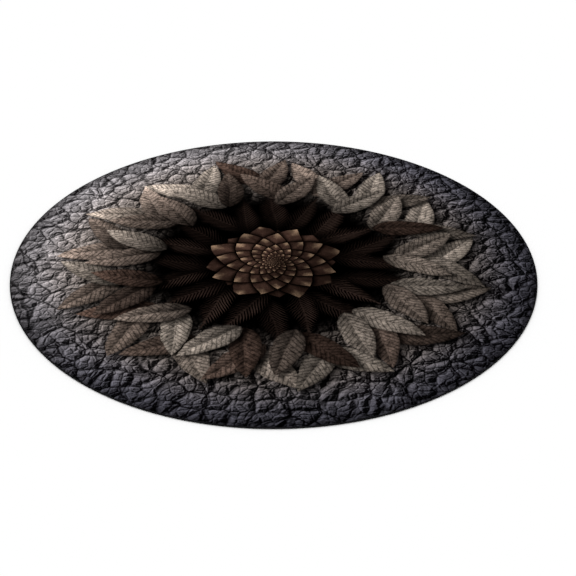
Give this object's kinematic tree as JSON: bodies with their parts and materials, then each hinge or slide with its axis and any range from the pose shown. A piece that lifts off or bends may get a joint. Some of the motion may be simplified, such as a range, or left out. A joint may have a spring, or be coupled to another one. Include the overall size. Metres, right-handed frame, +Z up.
{
  "type": "round area rug",
  "caption": "Round, flat, low-pile printed area rug with a narrow thread edging sewn round its rim.",
  "frame": {"origin": "centre of the rug's underside, on the floor", "axes": "+Z up out of the printed face; +Y towards the top of the print, away from the viewer in the picture; +X to the right"},
  "size_m": [1.2, 1.2, 0.004],
  "materials": {
    "printed_pile": "matte short pile, printed",
    "edging_thread": "matte overlocked thread"
  },
  "bodies": {
    "root": {"rug_panel": "printed_pile", "rug_edging": "edging_thread"}
  },
  "joints": []
}
